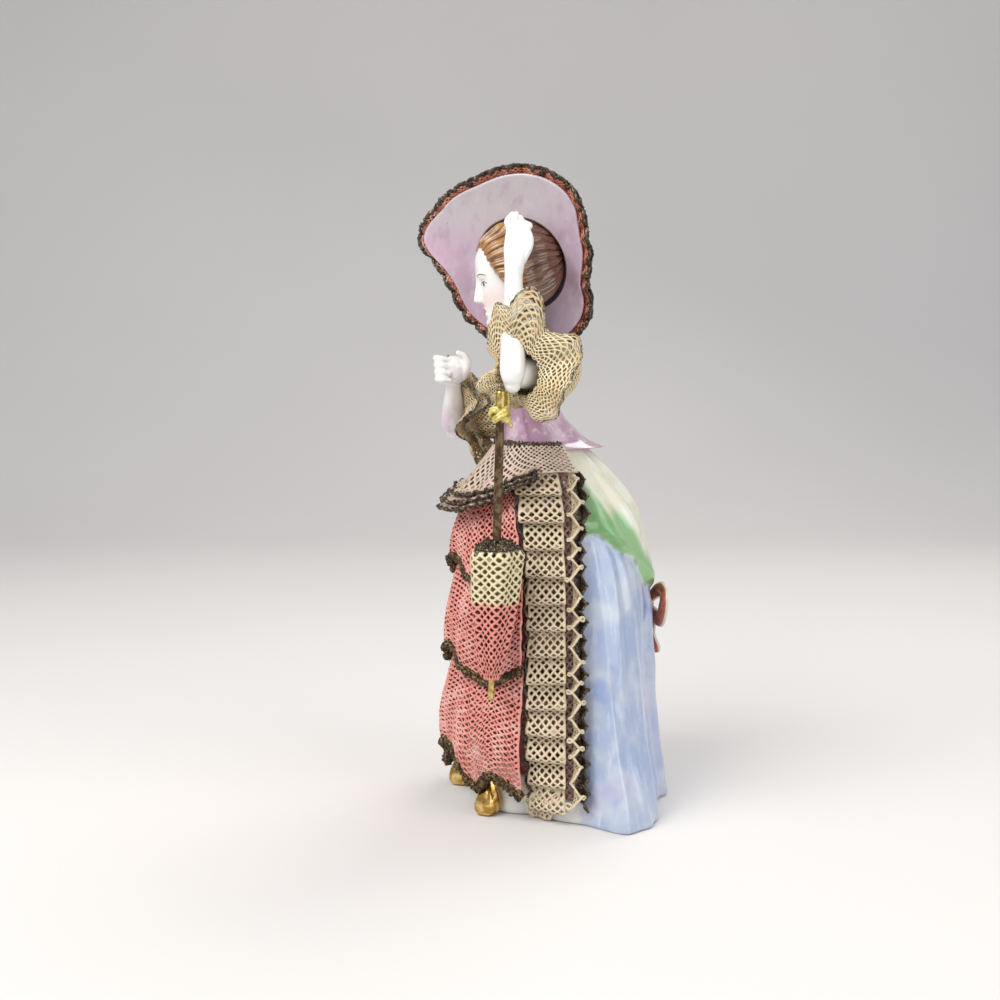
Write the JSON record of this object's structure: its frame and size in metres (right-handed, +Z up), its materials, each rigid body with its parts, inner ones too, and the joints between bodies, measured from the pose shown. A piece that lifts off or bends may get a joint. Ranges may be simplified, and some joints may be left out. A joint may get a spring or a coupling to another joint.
{
  "type": "porcelain figurine",
  "caption": "Standing porcelain lady in a wide tilted hat and lace-tiered gown, her left arm raised to the brim, with a closed parasol hung at the elbow.",
  "frame": {"origin": "centre of the flat underside, on the surface that the figurine stands on", "axes": "+Z up; the lady faces -Y, and her left side, with the raised arm, is towards +X"},
  "size_m": [0.0998, 0.0768, 0.2113],
  "materials": {
    "porcelain": "white glaze, with a blue train, a cream and green overdrape, a lilac bodice, brown hair and gilt shoes painted on",
    "hat_glaze": "thin lilac glaze with brush streaks over white",
    "rust_lace": "fired lace in salmon and rust with dark gilt edges",
    "pink_lace": "fired net in rose pink with dark bronze hems",
    "cream_lace": "fired net in warm cream with dark bronze edges",
    "bow_glaze": "orange glaze",
    "rod_metal": "dark bronzed metal rod with a gilt collar and tip",
    "gilt_cord": "cord stiffened in slip and gilded"
  },
  "bodies": {
    "root": {"figure": "porcelain", "hat": "hat_glaze", "hat_frill": "rust_lace", "tier_top": "pink_lace", "tier_middle": "pink_lace", "tier_bottom": "pink_lace", "ladder_left": "cream_lace", "ladder_right": "cream_lace", "hip_lace": "cream_lace", "sleeve_left": "cream_lace", "sleeve_right": "cream_lace", "bow": "bow_glaze", "parasol_rod": "rod_metal", "parasol_canopy": "pink_lace", "parasol_tie": "gilt_cord"}
  },
  "joints": []
}
